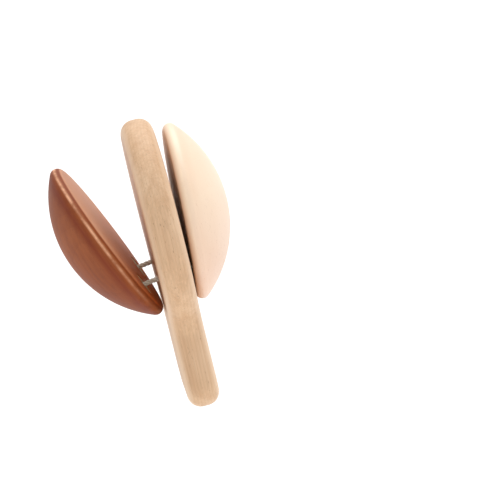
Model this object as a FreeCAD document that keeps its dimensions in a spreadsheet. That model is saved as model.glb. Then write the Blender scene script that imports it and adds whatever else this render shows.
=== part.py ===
"""Hand clapper: a wooden board with a round head, and a domed shell tied to each side of it.

Frame: +Z up the handle, X across the sandwich of shells (dark shell on -X, light shell on +X),
Y along both hinge lines.  The origin is the middle of the grip.  Millimetres throughout.
"""
import FreeCAD, Part
import math
import os

import Sketcher

V = FreeCAD.Vector
X_AXIS = V(1, 0, 0)
Y_AXIS = V(0, 1, 0)
Z_AXIS = V(0, 0, 1)
DARK = -1
LIGHT = 1
FRONT = -1
REAR = 1

# Driving dimensions: alias, value (mm or degrees), meaning.
DIMENSIONS = (
    ("board_thickness", 15.3, "board, flat face to flat face"),
    ("head_radius", 50.0, "round head of the board"),
    ("head_height", 71.0, "grip middle to head centre"),
    ("grip_width", 52.0, "grip, side to side"),
    ("grip_reach", 88.6, "head centre to the grip's end"),
    ("grip_corner", 14.0, "corner radius of the grip's end"),
    ("neck_radius", 20.0, "hollow between head and grip"),
    ("edge_round", 6.5, "rounding all along the board's edge"),
    ("shell_radius", 42.1, "outside radius of a shell"),
    ("shell_rise", 23.4, "flat face to the top of the dome"),
    ("rim_round", 3.3, "rounding of a shell's rim"),
    ("face_gap", 0.3, "closed shell to board"),
    ("dark_opening", 23.0, "dark shell at rest, degrees from closed"),
    ("light_opening", 3.0, "light shell at rest, degrees from closed"),
    ("dark_lift", 0.5, "closed dark shell's middle above the head's centre"),
    ("light_lift", 2.5, "closed light shell's middle above the head's centre"),
    ("cord_diameter", 2.4, "twisted cord"),
    ("cord_spacing", 33.0, "front cord to rear cord"),
    ("cord_inset", 18.9, "lowest point of a closed shell's rim up to the cords"),
    ("board_clearance", 0.6, "cord in its bore through the board, radial"),
    ("plug_diameter", 12.0, "round plug in a shell's face"),
    ("plug_length", 4.5, "plug along the cord"),
    ("plug_recess", 0.3, "plug's end below the shell's face"),
    ("plug_glue", 0.03, "glue line around a plug, radial"),
    ("plug_clearance", 0.8, "cord in its bore through a plug, radial"),
    ("knot_clearance", 0.05, "knot, pulled tight, around the cord, radial"),
    ("knot_room", 0.5, "free space around a knot in its chamber"),
    ("cord_bend", 1.2, "length over which a cord turns each side of a bend"),
)


# Formulas that several pieces share.
BOARD_BORE = "Sizes.cord_diameter + 2 * Sizes.board_clearance"
PLUG_BORE = "Sizes.cord_diameter + 2 * Sizes.plug_clearance"
PLUG_SEAT = "Sizes.plug_diameter + 2 * Sizes.plug_glue"
SEAT_DEPTH = "Sizes.plug_recess + Sizes.plug_length"
KNOT_RING = "Sizes.cord_diameter + Sizes.knot_clearance"
KNOT_CHAMBER = f"2 * ({KNOT_RING} + Sizes.knot_room) + Sizes.cord_diameter"
CHAMBER_DEPTH = f"{SEAT_DEPTH} + Sizes.cord_diameter + Sizes.knot_room"
MEAN_LIFT = "(Sizes.dark_lift + Sizes.light_lift) / 2"
CORD_HEIGHT = f"Sizes.head_height + {MEAN_LIFT} - Sizes.shell_radius + Sizes.cord_inset"
CORD_DROP = "Sizes.shell_radius - Sizes.cord_inset"


def make_sheet(doc):
    """Spreadsheet of the driving dimensions, one aliased cell each."""
    sheet = doc.addObject("Spreadsheet::Sheet", "Sizes")
    for row, (alias, value, meaning) in enumerate(DIMENSIONS, start=1):
        sheet.set(f"A{row}", alias)
        sheet.set(f"B{row}", str(value))
        sheet.set(f"C{row}", meaning)
        sheet.setAlias(f"B{row}", alias)
    doc.recompute()
    return sheet


def origin_plane(body, role):
    """One of a body's own origin planes, such as XY_Plane."""
    return next(f for f in body.Origin.OriginFeatures if f.Role == role)


def new_body(label):
    body = doc.addObject("PartDesign::Body", label)
    body.Label = label
    return body


def new_sketch(body, name, role):
    sketch = body.newObject("Sketcher::SketchObject", name)
    sketch.AttachmentSupport = [(origin_plane(body, role), "")]
    sketch.MapMode = "FlatFace"
    return sketch


def constrain(sketch, kind, *where):
    return sketch.addConstraint(Sketcher.Constraint(kind, *where))


def drive(sketch, kind, *where, formula, value):
    """A sketch dimension that follows the sheet."""
    index = sketch.addConstraint(Sketcher.Constraint(kind, *where, value))
    sketch.setExpression(f"Constraints[{index}]", formula)
    return index


def flat_circle(centre, radius):
    return Part.Circle(V(centre[0], centre[1], 0), Z_AXIS, radius)


def flat_arc(centre, radius, start, end):
    return Part.ArcOfCircle(flat_circle(centre, radius), start, end)


def flat_line(start, end):
    return Part.LineSegment(V(start[0], start[1], 0), V(end[0], end[1], 0))


def board_outline(body):
    """Paddle outline in the YZ plane: round head, hollow necks, straight grip, rounded end."""
    half = sheet.grip_width / 2
    head = sheet.head_radius
    neck = sheet.neck_radius
    corner = sheet.grip_corner
    end_z = sheet.head_height - sheet.grip_reach
    neck_drop = math.sqrt((head + neck) ** 2 - (half + neck) ** 2)
    neck_z = sheet.head_height - neck_drop
    lean = math.atan2(neck_drop, half + neck)
    sketch = new_sketch(body, "board_outline", "YZ_Plane")
    pieces = [
        flat_arc((0, sheet.head_height), head, -lean, math.pi + lean),
        flat_arc((-half - neck, neck_z), neck, 0, lean),
        flat_line((-half, neck_z), (-half, end_z + corner)),
        flat_arc((corner - half, end_z + corner), corner, math.pi, 1.5 * math.pi),
        flat_line((corner - half, end_z), (half - corner, end_z)),
        flat_arc((half - corner, end_z + corner), corner, 1.5 * math.pi, 2 * math.pi),
        flat_line((half, end_z + corner), (half, neck_z)),
        flat_arc((half + neck, neck_z), neck, math.pi - lean, math.pi),
    ]
    sketch.addGeometry(pieces, False)
    # Ends that meet, as (piece, end, next piece, its end): 1 is a start point and 2 an end point.
    joins = (
        (0, 2, 1, 2), (1, 1, 2, 1), (2, 2, 3, 1), (3, 2, 4, 1),
        (4, 2, 5, 1), (5, 2, 6, 1), (6, 2, 7, 2), (7, 1, 0, 1),
    )
    for join in joins:
        constrain(sketch, "Tangent", *join)
    constrain(sketch, "PointOnObject", 0, 3, -2)
    constrain(sketch, "Equal", 1, 7)
    constrain(sketch, "Equal", 3, 5)
    constrain(sketch, "Vertical", 6)
    constrain(sketch, "Horizontal", 4)
    constrain(sketch, "Symmetric", 2, 1, 6, 2, -2)
    drive(sketch, "DistanceY", -1, 1, 0, 3, formula="Sizes.head_height", value=sheet.head_height)
    drive(sketch, "Radius", 0, formula="Sizes.head_radius", value=head)
    drive(sketch, "Radius", 7, formula="Sizes.neck_radius", value=neck)
    drive(sketch, "Radius", 5, formula="Sizes.grip_corner", value=corner)
    drive(sketch, "DistanceX", 2, 1, 6, 2, formula="Sizes.grip_width", value=2 * half)
    drive(sketch, "DistanceY", 4, 2, 0, 3, formula="Sizes.grip_reach", value=sheet.grip_reach)
    return sketch


def flat_face_edges(shape, half):
    """Names of the edges that lie in the two flat faces, at x = -half and x = +half."""
    names = []
    for number, edge in enumerate(shape.Edges, start=1):
        box = edge.BoundBox
        if box.XLength < 1e-6 and abs(abs(box.Center.x) - half) < 1e-6:
            names.append(f"Edge{number}")
    return names


def make_board():
    """The handle board with its edge rounded and two cross bores for the cords."""
    body = new_body("handle_board")
    outline = board_outline(body)
    pad = body.newObject("PartDesign::Pad", "board_pad")
    pad.Profile = outline
    pad.SideType = "Symmetric"
    pad.setExpression("Length", "Sizes.board_thickness")
    doc.recompute()
    rounding = body.newObject("PartDesign::Fillet", "board_rounding")
    rounding.Base = (pad, flat_face_edges(pad.Shape, sheet.board_thickness / 2))
    rounding.setExpression("Radius", "min(Sizes.edge_round; Sizes.board_thickness * 0.47)")
    doc.recompute()
    holes = new_sketch(body, "board_holes", "YZ_Plane")
    height = cord_height()
    for index, end in enumerate((FRONT, REAR)):
        holes.addGeometry(flat_circle((end * sheet.cord_spacing / 2, height), sheet.cord_diameter))
        drive(holes, "Diameter", index, formula=BOARD_BORE, value=2 * sheet.cord_diameter)
    constrain(holes, "Symmetric", 0, 3, 1, 3, -2)
    drive(holes, "DistanceX", 0, 3, 1, 3, formula="Sizes.cord_spacing", value=sheet.cord_spacing)
    drive(holes, "DistanceY", -1, 1, 1, 3, formula=CORD_HEIGHT, value=height)
    bores = body.newObject("PartDesign::Pocket", "board_bores")
    bores.Profile = holes
    bores.SideType = "Symmetric"
    bores.Type = "ThroughAll"
    return body


def shell_profile(body):
    """Half section of a shell: flat face, rounded rim, spherical dome tangent to the rim."""
    rim = sheet.rim_round
    rise = sheet.shell_rise
    reach = sheet.shell_radius - rim
    dome = (reach ** 2 + (rise - rim) ** 2 - rim ** 2) / (2 * (rise - 2 * rim))
    lean = math.atan2(rim - rise + dome, reach)
    sketch = new_sketch(body, "shell_profile", "XZ_Plane")
    pieces = [
        flat_line((0, 0), (reach, 0)),
        flat_arc((reach, rim), rim, -math.pi / 2, lean),
        flat_arc((0, rise - dome), dome, lean, math.pi / 2),
        flat_line((0, rise), (0, 0)),
    ]
    sketch.addGeometry(pieces, False)
    constrain(sketch, "Coincident", 0, 1, -1, 1)
    constrain(sketch, "Coincident", 2, 2, 3, 1)
    constrain(sketch, "Coincident", 3, 2, 0, 1)
    constrain(sketch, "Tangent", 0, 2, 1, 1)
    constrain(sketch, "Tangent", 1, 2, 2, 1)
    constrain(sketch, "PointOnObject", 2, 3, -2)
    constrain(sketch, "Horizontal", 0)
    constrain(sketch, "Vertical", 3)
    drive(sketch, "Radius", 1, formula="Sizes.rim_round", value=rim)
    drive(sketch, "DistanceX", -1, 1, 1, 3,
          formula="Sizes.shell_radius - Sizes.rim_round", value=reach)
    drive(sketch, "DistanceY", 3, 2, 3, 1, formula="Sizes.shell_rise", value=rise)
    return sketch


def shell_pockets(body, name, diameter, depth):
    """Two round pockets, one for each cord, sunk into a shell's flat face."""
    sketch = new_sketch(body, f"{name}_circles", "XY_Plane")
    spacing = sheet.cord_spacing
    drop = sheet.shell_radius - sheet.cord_inset
    for index, end in enumerate((FRONT, REAR)):
        sketch.addGeometry(flat_circle((end * spacing / 2, -drop), sheet.cord_diameter))
        drive(sketch, "Diameter", index, formula=diameter, value=2 * sheet.cord_diameter)
    constrain(sketch, "Symmetric", 0, 3, 1, 3, -2)
    drive(sketch, "DistanceX", 0, 3, 1, 3, formula="Sizes.cord_spacing", value=spacing)
    drive(sketch, "DistanceY", 0, 3, -1, 1, formula=CORD_DROP, value=drop)
    pocket = body.newObject("PartDesign::Pocket", name)
    pocket.Profile = sketch
    pocket.Reversed = True
    pocket.setExpression("Length", depth)
    return pocket


def make_shell(side, label):
    """A turned shell.  Its own frame: flat face in XY, dome towards +Z, +Y towards its free end."""
    body = new_body(label)
    turning = body.newObject("PartDesign::Revolution", f"{label}_turning")
    turning.Profile = shell_profile(body)
    turning.ReferenceAxis = (turning.Profile[0], ["V_Axis"])
    turning.Angle = 360
    doc.recompute()
    solid_volume = turning.Shape.Volume
    shell_pockets(body, f"{label}_seats", PLUG_SEAT, SEAT_DEPTH)
    chambers = shell_pockets(body, f"{label}_chambers", KNOT_CHAMBER, CHAMBER_DEPTH)
    doc.recompute()
    if chambers.Shape.Volume >= solid_volume:
        raise RuntimeError(f"{label}: the pockets cut nothing")
    body.Placement = shell_placement(side)
    return body


def cord_height():
    """The cords pass straight through the board, midway between the closed shells' plugs."""
    mean_lift = (sheet.dark_lift + sheet.light_lift) / 2
    return sheet.head_height + mean_lift - sheet.shell_radius + sheet.cord_inset


def shell_height(side):
    """Height of a closed shell's middle.  The shells sit a little loose on their cords."""
    return sheet.head_height + (sheet.dark_lift if side == DARK else sheet.light_lift)


def hinge_point(side):
    """A shell rocks about the centre of its lowest rim arc, so that the rim stays on the board."""
    across = sheet.board_thickness / 2 + sheet.face_gap + sheet.rim_round
    return V(side * across, 0, shell_height(side) - sheet.shell_radius + sheet.rim_round)


def shell_placement(side):
    """From a shell's own frame to its place at rest, opened about its hinge."""
    opening = sheet.dark_opening if side == DARK else sheet.light_opening
    face = V(side * (sheet.board_thickness / 2 + sheet.face_gap), 0, shell_height(side))
    closed = FreeCAD.Placement(face, FreeCAD.Rotation(Y_AXIS * side, Z_AXIS, X_AXIS * side, "YZX"))
    swing = FreeCAD.Placement(V(), FreeCAD.Rotation(Y_AXIS, side * opening), hinge_point(side))
    return swing * closed


def cord_placement(side, end, depth):
    """A place on a cord's line inside a shell, at a depth below the flat face, +Z going in."""
    drop = sheet.shell_radius - sheet.cord_inset
    offset = V(side * end * sheet.cord_spacing / 2, -drop, depth)
    return shell_placement(side) * FreeCAD.Placement(offset, FreeCAD.Rotation())


def make_plug(side, end, label):
    """Round plug, glued into its seat, with the cord's bore through the middle."""
    blank = doc.addObject("Part::Cylinder", f"{label}_blank")
    blank.setExpression("Radius", "Sizes.plug_diameter / 2")
    blank.setExpression("Height", "Sizes.plug_length")
    bore = doc.addObject("Part::Cylinder", f"{label}_bore")
    bore.setExpression("Radius", f"({PLUG_BORE}) / 2")
    bore.setExpression("Height", "Sizes.plug_length")
    plug = doc.addObject("Part::Cut", label)
    plug.Base = blank
    plug.Tool = bore
    plug.Label = label
    plug.Placement = cord_placement(side, end, sheet.plug_recess)
    return plug


def make_knot(side, end, label):
    """The cord's end, wrapped round itself behind a plug and pulled tight."""
    knot = doc.addObject("Part::Torus", label)
    knot.setExpression("Radius1", KNOT_RING)
    knot.setExpression("Radius2", "Sizes.cord_diameter / 2")
    knot.Label = label
    depth = sheet.plug_recess + sheet.plug_length + sheet.cord_diameter / 2
    knot.Placement = cord_placement(side, end, depth)
    return knot


def rounded_route(points, bend):
    """Wire through the points, each corner an arc that starts at most `bend` before it."""
    edges = []
    start = points[0]
    for before, corner, after in zip(points, points[1:], points[2:]):
        back = (before - corner).normalize()
        ahead = (after - corner).normalize()
        reach = min(bend, 0.45 * (before - corner).Length, 0.45 * (after - corner).Length)
        half_turn = (math.pi - back.getAngle(ahead)) / 2
        radius = reach / math.tan(half_turn)
        middle = (back + ahead).normalize() * (radius / math.cos(half_turn) - radius)
        edges.append(Part.LineSegment(start, corner + back * reach).toShape())
        arc = Part.Arc(corner + back * reach, corner + middle, corner + ahead * reach)
        edges.append(arc.toShape())
        start = corner + ahead * reach
    edges.append(Part.LineSegment(start, points[-1]).toShape())
    return Part.Wire(edges)


def make_cord(side, end, label):
    """Half a cord: from the board's mid-plane out of its bore, into a plug and through the knot."""
    across = end * sheet.cord_spacing / 2
    height = cord_height()
    tail = sheet.plug_recess + sheet.plug_length + sheet.cord_diameter
    points = [
        V(0, across, height),
        V(side * sheet.board_thickness / 2, across, height),
        cord_placement(side, end, 0).Base,
        cord_placement(side, end, tail).Base,
    ]
    route = doc.addObject("Part::Feature", f"{label}_route")
    route.Shape = rounded_route(points, sheet.cord_bend)
    section = doc.addObject("Part::Circle", f"{label}_section")
    section.setExpression("Radius", "Sizes.cord_diameter / 2")
    section.Placement = FreeCAD.Placement(points[0], FreeCAD.Rotation(Z_AXIS, X_AXIS))
    cord = doc.addObject("Part::Sweep", label)
    cord.Sections = [section]
    cord.Spine = (route, [f"Edge{n + 1}" for n in range(len(route.Shape.Edges))])
    cord.Solid = True
    cord.Label = label
    return cord


def check_cord(cord):
    """A sweep's volume is its section times its length."""
    route = doc.getObject(f"{cord.Name}_route").Shape
    expected = math.pi * (sheet.cord_diameter / 2) ** 2 * route.Length
    if abs(cord.Shape.Volume / expected - 1) > 0.01:
        raise RuntimeError(f"{cord.Label}: volume {cord.Shape.Volume:.2f}, not {expected:.2f}")


def check_part(piece):
    """A failed or empty piece stops the build."""
    if piece.Shape.isNull() or not piece.Shape.isValid():
        raise RuntimeError(f"{piece.Label}: no valid shape")
    if len(piece.Shape.Solids) != 1:
        raise RuntimeError(f"{piece.Label}: {len(piece.Shape.Solids)} solids")


doc = FreeCAD.newDocument("clapper")
sheet = make_sheet(doc)

parts = [make_board()]
cords = []
for side, shade in ((DARK, "dark"), (LIGHT, "light")):
    parts.append(make_shell(side, f"{shade}_shell"))
    for end, place in ((FRONT, "front"), (REAR, "rear")):
        parts.append(make_plug(side, end, f"{shade}_plug_{place}"))
        parts.append(make_knot(side, end, f"{shade}_knot_{place}"))
        cords.append(make_cord(side, end, f"cord_{place}_{shade}"))
parts.extend(cords)
doc.recompute()

for item in doc.Objects:
    if {"Invalid", "Error"} & set(item.State):
        raise RuntimeError(f"{item.Label}: {item.State}")
for piece in parts:
    check_part(piece)
for cord in cords:
    check_cord(cord)

os.makedirs("parts", exist_ok=True)
for piece in parts:
    piece.Shape.exportStep(os.path.join("parts", f"{piece.Label}.step"))
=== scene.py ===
"""Looks of the wooden hand clapper: wood, stain, plugs, twisted cords, and a soft white studio."""

import math
import random

import bmesh
import bpy
from mathutils import Matrix, Vector


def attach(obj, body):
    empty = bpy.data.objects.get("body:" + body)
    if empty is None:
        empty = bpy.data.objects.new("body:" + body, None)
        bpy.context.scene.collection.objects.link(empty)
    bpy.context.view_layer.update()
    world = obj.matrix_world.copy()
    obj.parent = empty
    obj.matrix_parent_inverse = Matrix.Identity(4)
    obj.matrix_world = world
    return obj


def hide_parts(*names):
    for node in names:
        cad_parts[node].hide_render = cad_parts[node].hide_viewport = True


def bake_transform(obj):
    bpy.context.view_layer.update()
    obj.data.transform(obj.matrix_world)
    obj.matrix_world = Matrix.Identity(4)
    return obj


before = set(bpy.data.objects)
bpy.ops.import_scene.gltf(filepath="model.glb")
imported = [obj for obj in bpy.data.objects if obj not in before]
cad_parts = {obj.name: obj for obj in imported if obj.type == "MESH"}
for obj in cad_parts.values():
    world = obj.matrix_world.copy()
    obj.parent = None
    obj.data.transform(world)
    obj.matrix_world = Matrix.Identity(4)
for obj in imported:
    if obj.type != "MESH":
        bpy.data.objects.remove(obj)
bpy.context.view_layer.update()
scene = bpy.context.scene
MM = 0.001
TURN = 2 * math.pi

# ---------------------------------------------------------------- sizes, in metres

DARK = -1
LIGHT = 1
FRONT = -1
REAR = 1
SHADE = {DARK: "dark", LIGHT: "light"}
END = {FRONT: "front", REAR: "rear"}

HALF_BOARD = 7.65 * MM
HEAD_RADIUS = 50.0 * MM
HEAD_HEIGHT = 71.0 * MM
GRIP_WIDTH = 52.0 * MM
GRIP_REACH = 88.6 * MM
GRIP_CORNER = 14.0 * MM
NECK_RADIUS = 20.0 * MM
EDGE_ROUND = 6.5 * MM

SHELL_RADIUS = 42.1 * MM
SHELL_RISE = 23.4 * MM
RIM_ROUND = 3.3 * MM
FACE_GAP = 0.3 * MM
OPENING = {DARK: math.radians(23.0), LIGHT: math.radians(3.0)}
LIFT = {DARK: 0.5 * MM, LIGHT: 2.5 * MM}

CORD_RADIUS = 1.2 * MM
CORD_SPACING = 33.0 * MM
CORD_INSET = 18.9 * MM
CORD_HEIGHT = HEAD_HEIGHT + (LIFT[DARK] + LIFT[LIGHT]) / 2 - SHELL_RADIUS + CORD_INSET
BORE_RADIUS = 1.8 * MM

PLUG_RADIUS = 6.0 * MM
PLUG_BORE = 2.0 * MM
PLUG_RECESS = 0.3 * MM
SEAT_RADIUS = 6.03 * MM
SEAT_DEPTH = 4.8 * MM
CHAMBER_RADIUS = 4.15 * MM
CHAMBER_DEPTH = 7.7 * MM


def shell_frame(side):
    """A shell's own frame at rest: flat face in XY, dome towards +Z, +Y towards its free end."""
    height = HEAD_HEIGHT + LIFT[side]
    pivot = Matrix.Translation((side * (HALF_BOARD + FACE_GAP + RIM_ROUND), 0,
                                height - SHELL_RADIUS + RIM_ROUND))
    closed = Matrix(((0, 0, side), (side, 0, 0), (0, 1, 0))).to_4x4()
    closed.translation = (side * (HALF_BOARD + FACE_GAP), 0, height)
    swing = Matrix.Rotation(side * OPENING[side], 4, "Y")
    return pivot @ swing @ pivot.inverted() @ closed


SHELL_FRAMES = {side: shell_frame(side) for side in (DARK, LIGHT)}

# ---------------------------------------------------------------- node helpers


def new_material(name):
    material = bpy.data.materials.new(name)
    material.use_nodes = True
    tree = material.node_tree
    tree.nodes.clear()
    output = tree.nodes.new("ShaderNodeOutputMaterial")
    shader = tree.nodes.new("ShaderNodeBsdfPrincipled")
    tree.links.new(shader.outputs["BSDF"], output.inputs["Surface"])
    return material, tree, shader


def plug_in(tree, socket, value):
    """Links a socket, or sets a plain value."""
    if isinstance(value, bpy.types.NodeSocket):
        tree.links.new(value, socket)
    elif socket.type == "RGBA":
        socket.default_value = (*value, 1)
    else:
        socket.default_value = value


def math_node(tree, operation, *values):
    made = tree.nodes.new("ShaderNodeMath")
    made.operation = operation
    for index, value in enumerate(values):
        plug_in(tree, made.inputs[index], value)
    return made.outputs[0]


def own_coordinates(tree, place):
    """Coordinates along the axes of place, the piece's own frame at rest."""
    inverse = place.inverted()
    mapping = tree.nodes.new("ShaderNodeMapping")
    mapping.inputs["Rotation"].default_value = inverse.to_euler("XYZ")
    mapping.inputs["Location"].default_value = inverse.translation
    coords = tree.nodes.new("ShaderNodeTexCoord")
    tree.links.new(coords.outputs["Object"], mapping.inputs["Vector"])
    return mapping.outputs["Vector"]


def grain_coordinates(tree, place, turn):
    """The piece's own coordinates, turned so that the grain lies along Z."""
    mapping = tree.nodes.new("ShaderNodeMapping")
    mapping.inputs["Rotation"].default_value = turn
    tree.links.new(own_coordinates(tree, place), mapping.inputs["Vector"])
    return mapping.outputs["Vector"]


def noise(tree, vector, scale, detail=3.0, rough=0.5):
    """Noise with a scale of its own along each axis, in features per metre."""
    mapping = tree.nodes.new("ShaderNodeMapping")
    mapping.inputs["Scale"].default_value = scale
    tree.links.new(vector, mapping.inputs["Vector"])
    made = tree.nodes.new("ShaderNodeTexNoise")
    made.inputs["Scale"].default_value = 1.0
    made.inputs["Detail"].default_value = detail
    made.inputs["Roughness"].default_value = rough
    tree.links.new(mapping.outputs["Vector"], made.inputs["Vector"])
    return made.outputs["Fac"]


def ramp(tree, factor, *stops):
    """Colour ramp from (position, colour or grey level) stops."""
    made = tree.nodes.new("ShaderNodeValToRGB")
    tree.links.new(factor, made.inputs["Fac"])
    elements = made.color_ramp.elements
    while len(elements) < len(stops):
        elements.new(0.5)
    for element, (position, colour) in zip(elements, stops):
        element.position = position
        element.color = (*colour, 1) if isinstance(colour, tuple) else (colour, colour, colour, 1)
    return made.outputs["Color"]


def mix(tree, factor, first, second, kind="MIX"):
    made = tree.nodes.new("ShaderNodeMix")
    made.data_type = "RGBA"
    made.blend_type = kind
    plug_in(tree, made.inputs[0], factor)
    plug_in(tree, made.inputs[6], first)
    plug_in(tree, made.inputs[7], second)
    return made.outputs[2]


def bump(tree, height, strength, distance, under=None):
    made = tree.nodes.new("ShaderNodeBump")
    made.inputs["Strength"].default_value = strength
    made.inputs["Distance"].default_value = distance
    tree.links.new(height, made.inputs["Height"])
    if under is not None:
        tree.links.new(under, made.inputs["Normal"])
    return made.outputs["Normal"]


def srgb(red, green, blue):
    """Linear colour from 0-255 display values."""
    def channel(value):
        value /= 255
        return value / 12.92 if value <= 0.04045 else ((value + 0.055) / 1.055) ** 2.4
    return (channel(red), channel(green), channel(blue))


# ---------------------------------------------------------------- wood

BOARD_LOOK = {
    "turn": (0.03, -0.022, 0.0), "pith": (0.21, -0.035), "ring_spacing": 0.0015,
    "ring_wander": 0.0016, "ring_depth": 0.26, "streak_depth": 0.38, "fibre_depth": 0.22,
    "deep": srgb(208, 167, 127), "main": srgb(221, 183, 145), "pale": srgb(231, 197, 162),
    "ring": srgb(190, 142, 100), "pore": srgb(128, 88, 58), "pore_depth": 0.5,
    "rough": (0.48, 0.62), "relief": 0.5, "coat": 0.10, "coat_rough": 0.4, "specular": 0.42,
}
LIGHT_LOOK = {
    "turn": (math.pi / 2, 0.05, 0.3), "pith": (0.02, 0.11), "ring_spacing": 0.0034,
    "ring_wander": 0.004, "ring_depth": 0.10, "streak_depth": 0.12, "fibre_depth": 0.06,
    "deep": srgb(230, 190, 163), "main": srgb(235, 200, 176), "pale": srgb(241, 210, 190),
    "ring": srgb(228, 182, 146), "pore": srgb(180, 126, 88), "pore_depth": 0.6,
    "rough": (0.40, 0.52), "relief": 0.25, "coat": 0.28, "coat_rough": 0.42, "specular": 0.5,
}
DARK_LOOK = {
    "turn": (math.pi / 2, -0.04, -0.2), "pith": (-0.03, 0.12), "ring_spacing": 0.0031,
    "ring_wander": 0.004, "ring_depth": 0.22, "streak_depth": 0.42, "fibre_depth": 0.34,
    "deep": srgb(128, 58, 22), "main": srgb(144, 70, 28), "pale": srgb(158, 84, 38),
    "ring": srgb(108, 44, 14), "pore": srgb(66, 24, 8), "pore_depth": 0.55,
    "rough": (0.48, 0.62), "relief": 0.3, "coat": 0.0, "coat_rough": 0.3, "specular": 0.14,
}
# Shell tones, painted light and shade: the face paler where lit and darker towards the cords, a
# light rim line that is partly rim wear and partly a painted highlight, darker bands by the rim as
# painted shade, and a paler free end as a painted highlight.
DARK_TONES = {
    "face": srgb(212, 158, 126), "shaded_low_face": srgb(190, 98, 42), "face_depth": 0.8,
    "rim_wear_and_highlight": srgb(244, 186, 148), "painted_rim_shade": srgb(116, 42, 12), "painted_rim_shade_depth": 0.8,
    "tip_highlight": srgb(176, 112, 84), "tip_highlight_depth": 0.15,
}
# On the light shell the face colour is its own; the rest paints shade and highlight as on the dark
# shell.
LIGHT_TONES = {
    "face": srgb(240, 210, 188), "shaded_low_face": srgb(235, 199, 168), "face_depth": 0.85,
    "rim_wear_and_highlight": srgb(252, 226, 196), "painted_rim_shade": srgb(230, 190, 158), "painted_rim_shade_depth": 0.2,
    "tip_highlight": srgb(255, 238, 210), "tip_highlight_depth": 0.5,
}


# Features per metre: across the grain twice, then along it.
GRAIN = {
    "fibres": (1500, 1500, 30), "streaks": (330, 330, 9), "clouds": (30, 30, 18),
    "pores": (2300, 2300, 420), "unevenness": (70, 70, 70), "ring_waver": (40, 40, 9),
}

# Height above a shell's flat face and half width, in metres, of the bands round its rim: the light
# rim line, partly rim wear and partly a painted highlight, and two darker bands of painted shade.
RIM_LINE = (0.0026, 0.0010)
RIM_SHADE_HIGH = (0.0065, 0.0032)
RIM_SHADE_LOW = (0.0009, 0.0006)

# Distance from the board's middle plane, in 1/120 m, and how much paler it is painted there, as
# painted light: the rounded edges are, from 5.2 mm out, and the flat faces at 7.65 mm are not.
EDGE_UNITS = 120.0
EDGE_STOPS = ((0.62, 0.0), (0.84, 0.5), (0.907, 0.5), (0.917, 0.1))


def growth_rings(tree, vector, look):
    """Growth rings round a far pith that lies along the grain: 1 on a ring's late wood."""
    parts = tree.nodes.new("ShaderNodeSeparateXYZ")
    tree.links.new(vector, parts.inputs[0])
    squares = []
    for axis in (0, 1):
        offset = math_node(tree, "SUBTRACT", parts.outputs[axis], look["pith"][axis])
        squares.append(math_node(tree, "MULTIPLY", offset, offset))
    radius = math_node(tree, "SQRT", math_node(tree, "ADD", *squares))
    waver = noise(tree, vector, GRAIN["ring_waver"], 2.0)
    radius = math_node(tree, "MULTIPLY_ADD", waver, look["ring_wander"], radius)
    phase = math_node(tree, "FRACT", math_node(tree, "DIVIDE", radius, look["ring_spacing"]))
    return math_node(tree, "POWER", phase, 4.0)


def wood_colour(tree, look, clouds, rings, streaks, fibres, pores):
    """Slow tone changes, then ring lines, streaks and fibres, then dark open pores."""
    tone = ramp(tree, clouds, (0.30, look["deep"]), (0.52, look["main"]), (0.72, look["pale"]))
    tone = mix(tree, math_node(tree, "MULTIPLY", rings, look["ring_depth"]), tone, look["ring"])
    lines = ramp(tree, streaks, (0.40, 0.0), (0.70, 1.0))
    tone = mix(tree, math_node(tree, "MULTIPLY", lines, look["streak_depth"]), tone, look["ring"])
    weave = ramp(tree, fibres, (0.3, 0.35), (0.7, 1.0))
    tone = mix(tree, look["fibre_depth"], tone, weave, "MULTIPLY")
    return mix(tree, math_node(tree, "MULTIPLY", pores, look["pore_depth"]), tone, look["pore"])


def wood_material(name, look, place, wear_and_painted_light):
    """Sanded wood with rings, fibres and pores, then wear and painted light and shade from the
    given function, under a thin satin finish.
    """
    material, tree, shader = new_material(name)
    vector = grain_coordinates(tree, place, look["turn"])
    rings = growth_rings(tree, vector, look)
    fibres = noise(tree, vector, GRAIN["fibres"], 4.0, 0.6)
    streaks = noise(tree, vector, GRAIN["streaks"], 3.0, 0.55)
    clouds = noise(tree, vector, GRAIN["clouds"], 2.0)
    pores = ramp(tree, noise(tree, vector, GRAIN["pores"], 1.0), (0.68, 0.0), (0.76, 1.0))
    tone = wood_colour(tree, look, clouds, rings, streaks, fibres, pores)
    tone = wear_and_painted_light(tree, tone, own_coordinates(tree, place))
    tree.links.new(tone, shader.inputs["Base Color"])
    low, high = look["rough"]
    rough = ramp(tree, mix(tree, 0.5, fibres, clouds), (0.3, low), (0.7, high))
    tree.links.new(rough, shader.inputs["Roughness"])
    relief = bump(tree, fibres, look["relief"], 0.00005)
    relief = bump(tree, math_node(tree, "MULTIPLY", pores, -1.0), look["relief"], 0.00008, relief)
    relief = bump(tree, noise(tree, vector, GRAIN["unevenness"], 2.0), 0.3, 0.0005, relief)
    tree.links.new(relief, shader.inputs["Normal"])
    shader.inputs["Coat Weight"].default_value = look["coat"]
    shader.inputs["Coat Roughness"].default_value = look["coat_rough"]
    shader.inputs["Specular IOR Level"].default_value = look["specular"]
    return material


def stripe(tree, height, middle, half_width):
    """1 at a height above the flat face, fading to 0 within half_width."""
    away = math_node(tree, "ABSOLUTE", math_node(tree, "SUBTRACT", height, middle))
    fade = math_node(tree, "SUBTRACT", 1.0, math_node(tree, "DIVIDE", away, half_width))
    return math_node(tree, "MAXIMUM", fade, 0.0)


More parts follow.
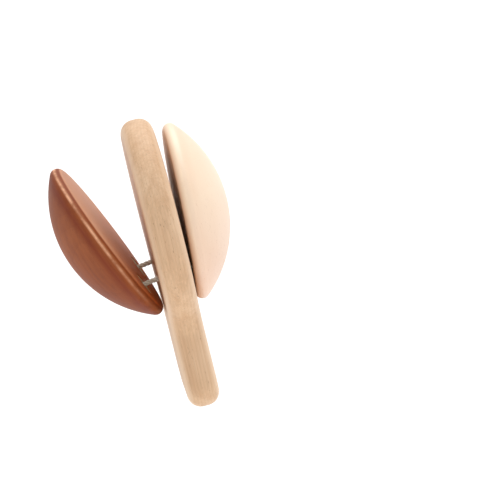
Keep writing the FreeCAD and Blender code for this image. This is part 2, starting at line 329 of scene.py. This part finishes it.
def shell_wear_and_painted_light(tones):
    """A shell's tones: its face paler towards the free end and darker towards the cords as painted
    light and shade, a light rim line that is partly rim wear and partly a painted highlight,
    darker bands by the rim as painted shade, and a paler free end as a painted highlight.
    """
    def apply(tree, tone, place):
        parts = tree.nodes.new("ShaderNodeSeparateXYZ")
        tree.links.new(place, parts.inputs[0])
        height = parts.outputs[2]
        upward = ramp(tree, math_node(tree, "MULTIPLY_ADD", parts.outputs[1], 15.0, 0.5),
                      (0.1, 0.0), (0.7, 1.0))
        # A paler free end: painted highlight.
        tip_highlight = math_node(tree, "MULTIPLY", upward, tones["tip_highlight_depth"])
        tone = mix(tree, tip_highlight, tone, tones["tip_highlight"])
        # The face: paler towards the free end and darker towards the cords, as painted light and
        # shade.
        flat = math_node(tree, "MULTIPLY_ADD", height, -1800.0, 1.6)
        flat = ramp(tree, flat, (0.0, 0.0), (1.0, tones["face_depth"]))
        tone = mix(tree, flat, tone, mix(tree, upward, tones["shaded_low_face"], tones["face"]))
        # Darker bands by the rim, one on the dome and one at the face's edge: painted shade.
        for band, depth in ((RIM_SHADE_HIGH, 1.0), (RIM_SHADE_LOW, 0.6)):
            painted_rim_shade = math_node(tree, "MULTIPLY", stripe(tree, height, *band),
                                 depth * tones["painted_rim_shade_depth"])
            tone = mix(tree, painted_rim_shade, tone, tones["painted_rim_shade"])
        # A light line along the rim, stronger towards the free end and broken into patches: partly
        # rim wear, partly painted highlight.
        patches = ramp(tree, noise(tree, place, (160, 160, 160), 3.0, 0.6),
                       (0.38, 0.3), (0.60, 1.0))
        wear_and_light_share = math_node(tree, "MULTIPLY_ADD", upward, 0.82, 0.06)
        rim_wear_and_highlight = math_node(tree, "MULTIPLY", stripe(tree, height, *RIM_LINE), patches)
        return mix(tree, math_node(tree, "MULTIPLY", rim_wear_and_highlight, wear_and_light_share), tone, tones["rim_wear_and_highlight"])
    return apply


def board_wear_and_painted_light(tree, tone, place):
    """Tones of the board: a patchy handling wear tone on the grip, and the rounded edges painted
    paler as painted light that lifts the shade along them.
    """
    parts = tree.nodes.new("ShaderNodeSeparateXYZ")
    tree.links.new(place, parts.inputs[0])
    grip = ramp(tree, math_node(tree, "MULTIPLY_ADD", parts.outputs[2], -12.0, 0.55),
                (0.25, 0.0), (0.75, 1.0))
    patches = ramp(tree, noise(tree, place, (60, 60, 30), 3.0, 0.6), (0.42, 0.0), (0.66, 1.0))
    wear = math_node(tree, "MULTIPLY", math_node(tree, "MULTIPLY", grip, patches), 0.22)
    tone = mix(tree, wear, tone, BOARD_LOOK["ring"])
    # The rounded edges painted paler: painted light that lifts the shade along them.
    aside = math_node(tree, "ABSOLUTE", parts.outputs[0])
    edge = ramp(tree, math_node(tree, "MULTIPLY", aside, EDGE_UNITS), *EDGE_STOPS)
    return mix(tree, edge, tone, srgb(242, 214, 184))


def plug_material():
    """End grain of a dowel: close pores on a cloudy grey-tan."""
    material, tree, shader = new_material("plug_end_grain")
    place = own_coordinates(tree, Matrix.Identity(4))
    specks = noise(tree, place, (4200, 4200, 4200), 2.0, 0.6)
    clouds = noise(tree, place, (260, 260, 260), 3.0)
    tone = ramp(tree, clouds, (0.3, srgb(176, 154, 118)), (0.7, srgb(206, 184, 146)))
    dots = ramp(tree, specks, (0.56, 0.0), (0.66, 1.0))
    tone = mix(tree, math_node(tree, "MULTIPLY", dots, 0.5), tone, srgb(84, 60, 40))
    tree.links.new(tone, shader.inputs["Base Color"])
    rough = ramp(tree, clouds, (0.3, 0.62), (0.7, 0.78))
    tree.links.new(rough, shader.inputs["Roughness"])
    tree.links.new(bump(tree, dots, 0.5, 0.00006), shader.inputs["Normal"])
    return material


def cord_material():
    """Grey-white twisted cotton: fine fibres, a little grime, a soft sheen."""
    material, tree, shader = new_material("cord_cotton")
    place = own_coordinates(tree, Matrix.Identity(4))
    fibres = noise(tree, place, (9000, 9000, 9000), 3.0, 0.7)
    soil = noise(tree, place, (900, 900, 900), 2.0)
    tone = ramp(tree, fibres, (0.3, srgb(214, 205, 184)), (0.7, srgb(252, 248, 238)))
    tone = mix(tree, math_node(tree, "MULTIPLY", soil, 0.25), tone, srgb(140, 122, 96))
    tree.links.new(tone, shader.inputs["Base Color"])
    rough = ramp(tree, soil, (0.3, 0.78), (0.7, 0.92))
    tree.links.new(rough, shader.inputs["Roughness"])
    shader.inputs["Sheen Weight"].default_value = 0.3
    shader.inputs["Sheen Roughness"].default_value = 0.5
    tree.links.new(bump(tree, fibres, 0.6, 0.00008), shader.inputs["Normal"])
    return material


# ---------------------------------------------------------------- mesh helpers


def ring(bm, centre, radius, height, count=96):
    """Vertices round a circle that lies across Z."""
    return [bm.verts.new((centre[0] + radius * math.cos(TURN * i / count),
                          centre[1] + radius * math.sin(TURN * i / count), height))
            for i in range(count)]


def bridge(bm, rings):
    """Quads between neighbouring rings of as many vertices."""
    for low, high in zip(rings, rings[1:]):
        for i in range(len(low)):
            k = (i + 1) % len(low)
            bm.faces.new((low[i], low[k], high[k], high[i]))


def ring_edges(bm, loop):
    return [bm.edges.get((loop[i - 1], loop[i])) for i in range(len(loop))]


def fill_flat(bm, *loops):
    """A flat face inside the first loop, with the other loops as holes."""
    edges = [edge for loop in loops for edge in ring_edges(bm, loop)]
    bmesh.ops.triangle_fill(bm, edges=edges, use_beauty=True)


def close_ring(bm, loop):
    """A fan over a round ring."""
    middle = sum((v.co for v in loop), Vector()) / len(loop)
    hub = bm.verts.new(middle)
    for i in range(len(loop)):
        bm.faces.new((loop[i - 1], loop[i], hub))


def finish_mesh(bm, name, material, place=Matrix.Identity(4)):
    """Turns a bmesh, built in the frame of place, into an object."""
    bmesh.ops.recalc_face_normals(bm, faces=bm.faces)
    bm.transform(place)
    mesh = bpy.data.meshes.new(name)
    bm.to_mesh(mesh)
    bm.free()
    mesh.shade_smooth()
    mesh.set_sharp_from_angle(angle=math.radians(38))
    mesh.materials.append(material)
    made = bpy.data.objects.new(name, mesh)
    scene.collection.objects.link(made)
    return made


def stand_for(made, body, node):
    """The made piece rides on a body in place of a CAD node, with its material slot."""
    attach(made, body)
    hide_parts(node)


# ---------------------------------------------------------------- board


def arc(centre, radius, start, end, outward=1):
    """Points of an arc with the board's outward direction at each: (y, z, out_y, out_z)."""
    count = max(2, round(abs(end - start) * radius / (1.1 * MM)))
    spots = []
    for i in range(count):
        angle = start + (end - start) * i / count
        y, z = math.cos(angle), math.sin(angle)
        spots.append((centre[0] + radius * y, centre[1] + radius * z, outward * y, outward * z))
    return spots


def straight(start, end, out):
    count = max(2, round(math.dist(start, end) / (1.4 * MM)))
    return [(start[0] + (end[0] - start[0]) * i / count,
             start[1] + (end[1] - start[1]) * i / count, *out) for i in range(count)]


def board_outline():
    """Paddle outline: round head, hollow necks, straight grip, rounded end."""
    half = GRIP_WIDTH / 2
    end_z = HEAD_HEIGHT - GRIP_REACH
    neck_drop = math.sqrt((HEAD_RADIUS + NECK_RADIUS) ** 2 - (half + NECK_RADIUS) ** 2)
    neck_z = HEAD_HEIGHT - neck_drop
    lean = math.atan2(neck_drop, half + NECK_RADIUS)
    corner_z = end_z + GRIP_CORNER
    inner = half - GRIP_CORNER
    return [
        *arc((0, HEAD_HEIGHT), HEAD_RADIUS, -lean, math.pi + lean),
        *arc((-half - NECK_RADIUS, neck_z), NECK_RADIUS, lean, 0, outward=-1),
        *straight((-half, neck_z), (-half, corner_z), (-1, 0)),
        *arc((-inner, corner_z), GRIP_CORNER, math.pi, 1.5 * math.pi),
        *straight((-inner, end_z), (inner, end_z), (0, -1)),
        *arc((inner, corner_z), GRIP_CORNER, 1.5 * math.pi, TURN),
        *straight((half, corner_z), (half, neck_z), (1, 0)),
        *arc((half + NECK_RADIUS, neck_z), NECK_RADIUS, math.pi, math.pi - lean, outward=-1),
    ]


def edge_profile():
    """(x, distance in from the outline) across the board's rounded edge, face to face."""
    steps = 12
    shoulder = HALF_BOARD - EDGE_ROUND
    profile = []
    for side in (-1, 1):
        for i in range(steps + 1):
            angle = math.pi / 2 * (i / steps if side > 0 else i / steps - 1)
            profile.append((side * shoulder + EDGE_ROUND * math.sin(angle),
                            EDGE_ROUND * (1 - math.cos(angle))))
    return profile


def bore_rings(bm, y):
    """A cord bore through the board, its mouths slightly rounded."""
    mouth = ((0.0, 0.35), (0.10, 0.12), (0.35, 0.0))
    steps = [(-HALF_BOARD + deep * MM, wide * MM) for deep, wide in mouth]
    steps += [(HALF_BOARD - deep * MM, wide * MM) for deep, wide in reversed(mouth)]
    rings = []
    for x, wide in steps:
        radius = BORE_RADIUS + wide
        rings.append([bm.verts.new((x, y + radius * math.cos(TURN * i / 32),
                                    CORD_HEIGHT + radius * math.sin(TURN * i / 32)))
                      for i in range(32)])
    return rings


def make_board(material):
    bm = bmesh.new()
    outline = board_outline()
    rings = [[bm.verts.new((x, y - inset * out_y, z - inset * out_z))
              for y, z, out_y, out_z in outline] for x, inset in edge_profile()]
    bridge(bm, rings)
    bores = [bore_rings(bm, end * CORD_SPACING / 2) for end in (FRONT, REAR)]
    for bore in bores:
        bridge(bm, bore)
    fill_flat(bm, rings[0], *(bore[0] for bore in bores))
    fill_flat(bm, rings[-1], *(bore[-1] for bore in bores))
    stand_for(finish_mesh(bm, "board", material), "handle", "handle_board")


# ---------------------------------------------------------------- shells and plugs


def shell_profile():
    """(radius, height) from the flat face's edge, round the rim and over the dome."""
    reach = SHELL_RADIUS - RIM_ROUND
    rise = SHELL_RISE - RIM_ROUND
    dome = (reach ** 2 + rise ** 2 - RIM_ROUND ** 2) / (2 * (SHELL_RISE - 2 * RIM_ROUND))
    centre = SHELL_RISE - dome
    tangent = math.atan2(RIM_ROUND - centre, reach)
    profile = []
    for i in range(15):
        angle = -math.pi / 2 + (tangent + math.pi / 2) * i / 15
        profile.append((reach + RIM_ROUND * math.cos(angle),
                        RIM_ROUND + RIM_ROUND * math.sin(angle)))
    for i in range(36):
        angle = tangent + (math.pi / 2 - tangent) * i / 36
        profile.append((dome * math.cos(angle), centre + dome * math.sin(angle)))
    return profile


def seat_rings(bm, centre):
    """A plug's seat with a softened mouth, and the knot's chamber behind it."""
    steps = ((SEAT_RADIUS + 0.15 * MM, 0), (SEAT_RADIUS, 0.15 * MM), (SEAT_RADIUS, SEAT_DEPTH),
             (CHAMBER_RADIUS, SEAT_DEPTH), (CHAMBER_RADIUS, CHAMBER_DEPTH))
    return [ring(bm, centre, radius, height, 64) for radius, height in steps]


def make_shell(side, material):
    bm = bmesh.new()
    rings = [ring(bm, (0, 0), radius, height, 220) for radius, height in shell_profile()]
    bridge(bm, rings)
    close_ring(bm, rings[-1])
    seats = [seat_rings(bm, (end * CORD_SPACING / 2, CORD_INSET - SHELL_RADIUS))
             for end in (FRONT, REAR)]
    for seat in seats:
        bridge(bm, seat)
        close_ring(bm, seat[-1])
    fill_flat(bm, rings[0], *(seat[0] for seat in seats))
    name = f"{SHADE[side]}_shell"
    stand_for(finish_mesh(bm, f"{name}_turned", material, SHELL_FRAMES[side]),
              name, name)


def plug_centre(side, end):
    """A plug's middle in the plane of its shell's flat face, in the shell's own frame."""
    return Vector((side * end * CORD_SPACING / 2, CORD_INSET - SHELL_RADIUS, 0))


def make_plug(side, end, material):
    """A drilled round plug, its edge and its bore's mouth softened."""
    bm = bmesh.new()
    steps = ((PLUG_BORE, SEAT_DEPTH), (PLUG_BORE, PLUG_RECESS + 0.3 * MM),
             (PLUG_BORE + 0.3 * MM, PLUG_RECESS), (PLUG_RADIUS - 0.25 * MM, PLUG_RECESS),
             (PLUG_RADIUS, PLUG_RECESS + 0.25 * MM), (PLUG_RADIUS, SEAT_DEPTH),
             (PLUG_BORE, SEAT_DEPTH))
    rings = [ring(bm, (0, 0), radius, height, 64) for radius, height in steps[:-1]]
    bridge(bm, rings + rings[:1])
    name = f"{SHADE[side]}_plug_{END[end]}"
    place = SHELL_FRAMES[side] @ Matrix.Translation(plug_centre(side, end))
    stand_for(finish_mesh(bm, f"{name}_turned", material, place),
              f"{SHADE[side]}_shell", name)


# ---------------------------------------------------------------- twisted cords

STRAND_RADIUS = 0.63 * MM
STRAND_REACH = 0.56 * MM
LAY = 6.2 * MM
STEP = 0.12 * MM


def cord_route(side, end):
    """Half a cord at rest: out of the board's bore, into a plug, to the knot behind it."""
    across = end * CORD_SPACING / 2
    shell = SHELL_FRAMES[side]
    deeps = (0, 2.4 * MM, SEAT_DEPTH, SEAT_DEPTH + 1.6 * MM)
    return [
        Vector((0, across, CORD_HEIGHT)),
        Vector((side * (HALF_BOARD - 2 * MM), across, CORD_HEIGHT)),
        Vector((side * HALF_BOARD, across, CORD_HEIGHT)),
        *(shell @ (plug_centre(side, end) + Vector((0, 0, deep))) for deep in deeps),
    ]


def smooth_line(points):
    """Evenly spaced points on a smooth spline through a route."""
    curve = bpy.data.curves.new("route", "CURVE")
    curve.dimensions = "3D"
    spline = curve.splines.new("NURBS")
    spline.points.add(len(points) - 1)
    for target, point in zip(spline.points, points):
        target.co = (*point, 1)
    spline.order_u = 3
    spline.use_endpoint_u = True
    spline.resolution_u = 24
    holder = bpy.data.objects.new("route", curve)
    mesh = bpy.data.meshes.new_from_object(holder)
    line = [v.co.copy() for v in mesh.vertices]
    bpy.data.objects.remove(holder)
    bpy.data.curves.remove(curve)
    bpy.data.meshes.remove(mesh)
    lengths = [0.0]
    for a, b in zip(line, line[1:]):
        lengths.append(lengths[-1] + (b - a).length)
    count = round(lengths[-1] / STEP)
    spaced = []
    spot = 0
    for i in range(count + 1):
        goal = lengths[-1] * i / count
        while spot < len(line) - 2 and lengths[spot + 1] < goal:
            spot += 1
        share = (goal - lengths[spot]) / max(lengths[spot + 1] - lengths[spot], 1e-9)
        spaced.append(line[spot].lerp(line[spot + 1], share))
    return spaced


def line_frames(line):
    """Point, normal and binormal along a line, turned as little as possible."""
    normal = Vector((0, 0, 1))
    frames = []
    for i, point in enumerate(line):
        tangent = (line[min(i + 1, len(line) - 1)] - line[max(i - 1, 0)]).normalized()
        normal = (normal - tangent * normal.dot(tangent)).normalized()
        frames.append((point, normal, tangent.cross(normal)))
    return frames


def tube(bm, loops):
    """Closed tube through rings of points."""
    rings = [[bm.verts.new(point) for point in loop] for loop in loops]
    bridge(bm, rings)
    bm.faces.new(list(reversed(rings[0])))
    bm.faces.new(rings[-1])


def strand_loops(frames, phase):
    """One laid strand: a helix about the cord's line, with its own yarns as slanted ridges."""
    around = 28
    yarns = 7
    loops = []
    for i, (point, normal, binormal) in enumerate(frames):
        turn = phase + TURN * i * STEP / LAY
        out = normal * math.cos(turn) + binormal * math.sin(turn)
        beside = binormal * math.cos(turn) - normal * math.sin(turn)
        loop = []
        for spoke in range(around):
            angle = TURN * spoke / around
            radius = STRAND_RADIUS * (1 + 0.07 * math.cos(yarns * angle - 2.2 * turn))
            loop.append(point + out * STRAND_REACH
                        + (out * math.cos(angle) + beside * math.sin(angle)) * radius)
        loops.append(loop)
    return loops


def stray_fibre(bm, start, heading, length):
    """One hair-thin fibre that has worked loose, bent as it goes."""
    steps = 5
    point = start.copy()
    loops = []
    for i in range(steps + 1):
        across = heading.orthogonal().normalized()
        other = heading.cross(across)
        size = 0.03 * MM * (1 - 0.7 * i / steps)
        loops.append([point + (across * math.cos(a) + other * math.sin(a)) * size
                      for a in (0, TURN / 3, 2 * TURN / 3)])
        point = point + heading * (length / steps)
        bend = Vector([random.uniform(-0.35, 0.35) for _ in range(3)])
        heading = (heading + bend).normalized()
    tube(bm, loops)


def make_cord(side, end, material):
    """Half a three-strand laid cord, as one mesh that curves along its route between the board and
    a shell.
    """
    route = cord_route(side, end)
    frames = line_frames(smooth_line(route))
    bm = bmesh.new()
    for strand in range(3):
        tube(bm, strand_loops(frames, strand * TURN / 3))
    bare = frames[len(frames) // 3:-len(frames) // 3]
    along = (frames[-1][0] - frames[0][0]).normalized()
    for _ in range(26):
        point, normal, binormal = random.choice(bare)
        angle = random.uniform(0, TURN)
        out = normal * math.cos(angle) + binormal * math.sin(angle)
        heading = (out + along * random.uniform(-0.9, 0.9)).normalized()
        stray_fibre(bm, point + out * 0.85 * CORD_RADIUS, heading, random.uniform(0.5, 1.3) * MM)
    name = f"cord_{END[end]}_{SHADE[side]}"
    made = finish_mesh(bm, f"{name}_twisted", material)
    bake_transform(made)
    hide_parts(name)


# ---------------------------------------------------------------- build

random.seed(7)
make_board(wood_material("board_wood", BOARD_LOOK, Matrix.Identity(4), board_wear_and_painted_light))
make_shell(DARK, wood_material("dark_wood", DARK_LOOK, SHELL_FRAMES[DARK],
                               shell_wear_and_painted_light(DARK_TONES)))
make_shell(LIGHT, wood_material("light_wood", LIGHT_LOOK, SHELL_FRAMES[LIGHT],
                                shell_wear_and_painted_light(LIGHT_TONES)))
plug_wood = plug_material()
cotton = cord_material()
for side in (DARK, LIGHT):
    for end in (FRONT, REAR):
        make_plug(side, end, plug_wood)
        make_cord(side, end, cotton)
        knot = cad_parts[f"{SHADE[side]}_knot_{END[end]}"]
        for spot in knot.material_slots:
            spot.material = cotton

# ---------------------------------------------------------------- studio


def make_floor():
    """A pale floor, well below the hand-held toy."""
    material, _, shader = new_material("floor_white")
    shader.inputs["Base Color"].default_value = (0.93, 0.93, 0.93, 1)
    shader.inputs["Roughness"].default_value = 0.9
    bm = bmesh.new()
    bmesh.ops.create_grid(bm, x_segments=2, y_segments=2, size=20)
    floor = finish_mesh(bm, "floor", material)
    floor.location = (0, 0, -0.4)


SUN_HEADING = Vector((-0.28, -0.35, -0.89))
SUN_STRENGTH = 2.15
SUN_SPREAD = math.radians(60)
SURROUND_STRENGTH = 0.74


def make_lights():
    """A very soft sun from above, a little right of and behind the toy, in a bright surround."""
    sun = bpy.data.lights.new("soft_sun", "SUN")
    sun.energy = SUN_STRENGTH
    sun.angle = SUN_SPREAD
    holder = bpy.data.objects.new("soft_sun", sun)
    scene.collection.objects.link(holder)
    holder.rotation_euler = SUN_HEADING.to_track_quat("-Z", "Y").to_euler()
    world = bpy.data.worlds.new("studio")
    world.use_nodes = True
    surround = world.node_tree.nodes["Background"]
    surround.inputs["Color"].default_value = (1, 1, 1, 1)
    surround.inputs["Strength"].default_value = SURROUND_STRENGTH
    scene.world = world
    scene.view_settings.view_transform = "Standard"


def make_camera():
    """A long lens from a little above; the toy leans left and stands left of the middle."""
    azimuth = math.radians(-3.11)
    elevation = math.radians(15.0)
    roll = math.radians(13.65)
    distance = 1.6469
    lens = 252.0
    aside = Vector((-0.04246, 0.01290, -distance))
    forward = Vector((-math.sin(azimuth) * math.cos(elevation),
                      math.cos(azimuth) * math.cos(elevation), -math.sin(elevation)))
    right = Vector((math.cos(azimuth), math.sin(azimuth), 0))
    up = right.cross(forward)
    axes = Matrix((right * math.cos(roll) - up * math.sin(roll),
                   right * math.sin(roll) + up * math.cos(roll), -forward)).transposed()
    data = bpy.data.cameras.new("camera")
    data.sensor_width = 36
    data.lens = lens
    data.clip_end = 100
    camera = bpy.data.objects.new("camera", data)
    scene.collection.objects.link(camera)
    middle = Vector((0, 0, HEAD_HEIGHT))
    camera.matrix_world = axes.to_4x4()
    camera.matrix_world.translation = middle - axes @ aside
    scene.camera = camera


make_floor()
make_lights()
make_camera()


bpy.context.view_layer.update()
